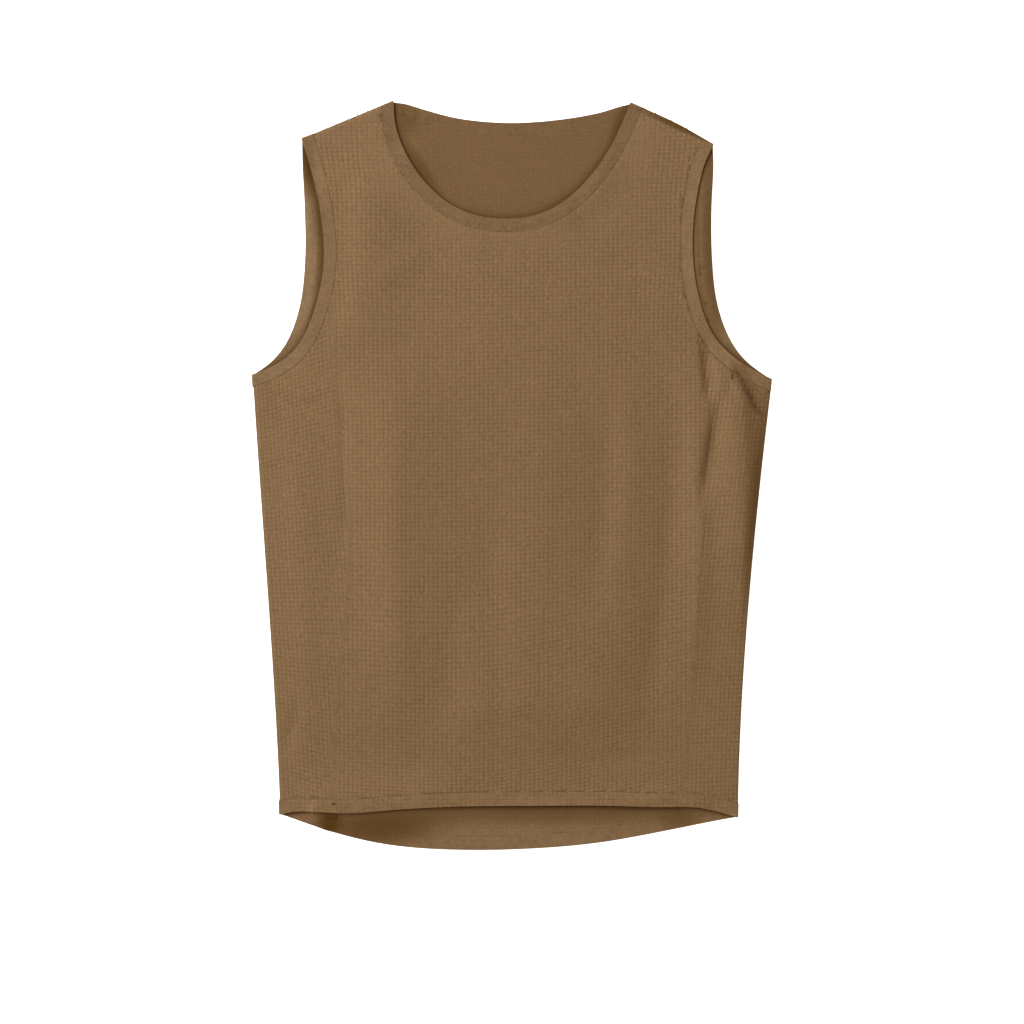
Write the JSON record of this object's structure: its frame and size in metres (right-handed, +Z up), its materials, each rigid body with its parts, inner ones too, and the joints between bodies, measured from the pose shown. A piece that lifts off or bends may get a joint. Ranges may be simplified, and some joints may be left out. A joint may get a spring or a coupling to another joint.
{
  "type": "sleeveless cycling base layer",
  "caption": "Sleeveless knitted sports undershirt laid flat on its back, with a scooped neck, open armholes, side panels and a longer back hem.",
  "frame": {"origin": "on the surface it lies on, under the middle of the garment's outline", "axes": "+Z up out of the front, +Y towards the head end, +X to the right of someone looking down on the front"},
  "size_m": [0.4402, 0.6339, 0.0059],
  "materials": {
    "knit": "matte brown knit with a small square cell",
    "band": "matte brown smooth knit"
  },
  "bodies": {
    "root": {"front_panel": "knit", "back_panel": "knit", "side_panel_left": "knit", "side_panel_right": "knit", "armhole_band_left": "band", "armhole_band_right": "band", "neck_band": "band", "hem_band": "band"}
  },
  "joints": []
}
